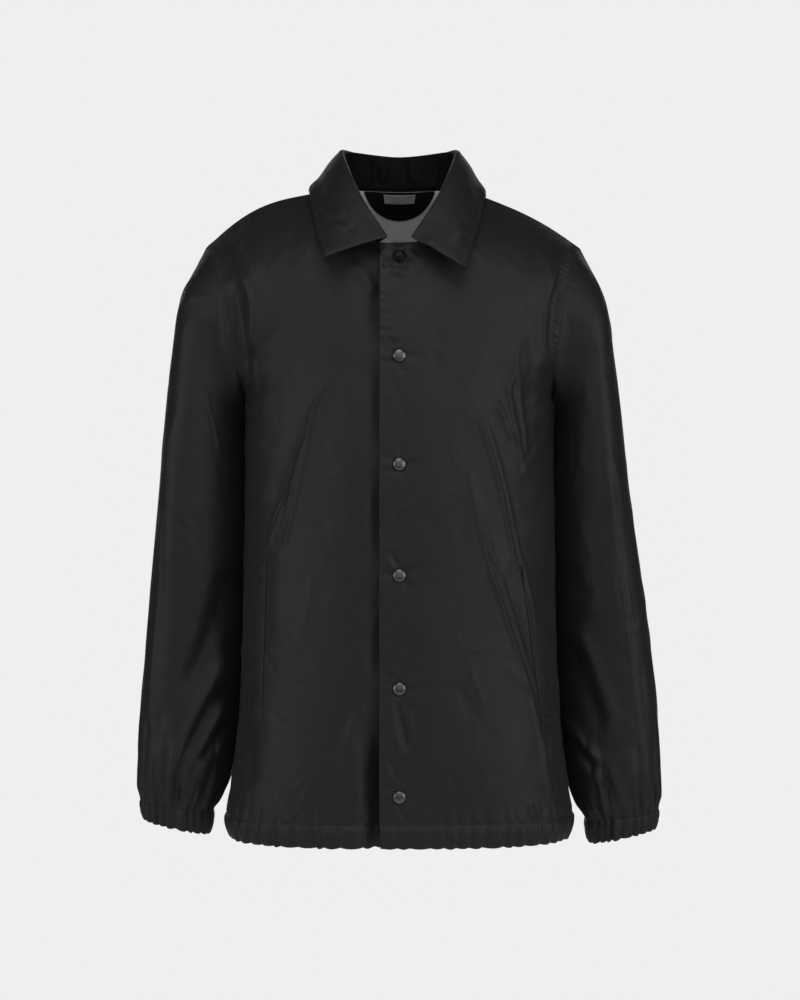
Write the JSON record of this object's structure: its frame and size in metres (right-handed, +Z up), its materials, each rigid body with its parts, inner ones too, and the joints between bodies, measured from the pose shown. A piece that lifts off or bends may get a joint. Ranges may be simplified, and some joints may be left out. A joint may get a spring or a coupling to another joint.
{
  "type": "windbreaker",
  "caption": "Black nylon coach windbreaker with a shirt collar, snap front, slanted welt pockets, elastic cuffs and a puckered drawcord hem, filled out as worn.",
  "frame": {"origin": "the middle of the neck, level with the neck ends of the shoulder seams", "axes": "+X towards the wearer's left, the right-hand side of the picture; +Y from the front to the back; +Z up along the wearer's body"},
  "size_m": [0.5936, 0.2752, 0.7969],
  "materials": {
    "shell_nylon": "black satin-sheen plain-weave nylon",
    "lining": "matt mid-grey lining cloth",
    "label": "light-grey satin ribbon, blank",
    "snap_metal": "dark gunmetal, satin"
  },
  "bodies": {
    "root": {"back": "shell_nylon", "back_lining": "lining", "collar": "shell_nylon", "cuff_left": "shell_nylon", "cuff_right": "shell_nylon", "front_left": "shell_nylon", "front_right": "shell_nylon", "hem_back": "shell_nylon", "hem_front_left": "shell_nylon", "hem_front_right": "shell_nylon", "neck_facing": "shell_nylon", "neck_label": "label", "pocket_welt_left": "shell_nylon", "pocket_welt_right": "shell_nylon", "sleeve_left": "shell_nylon", "sleeve_right": "shell_nylon", "snap_1": "snap_metal", "snap_2": "snap_metal", "snap_3": "snap_metal", "snap_4": "snap_metal", "snap_5": "snap_metal", "snap_6": "snap_metal"}
  },
  "joints": []
}
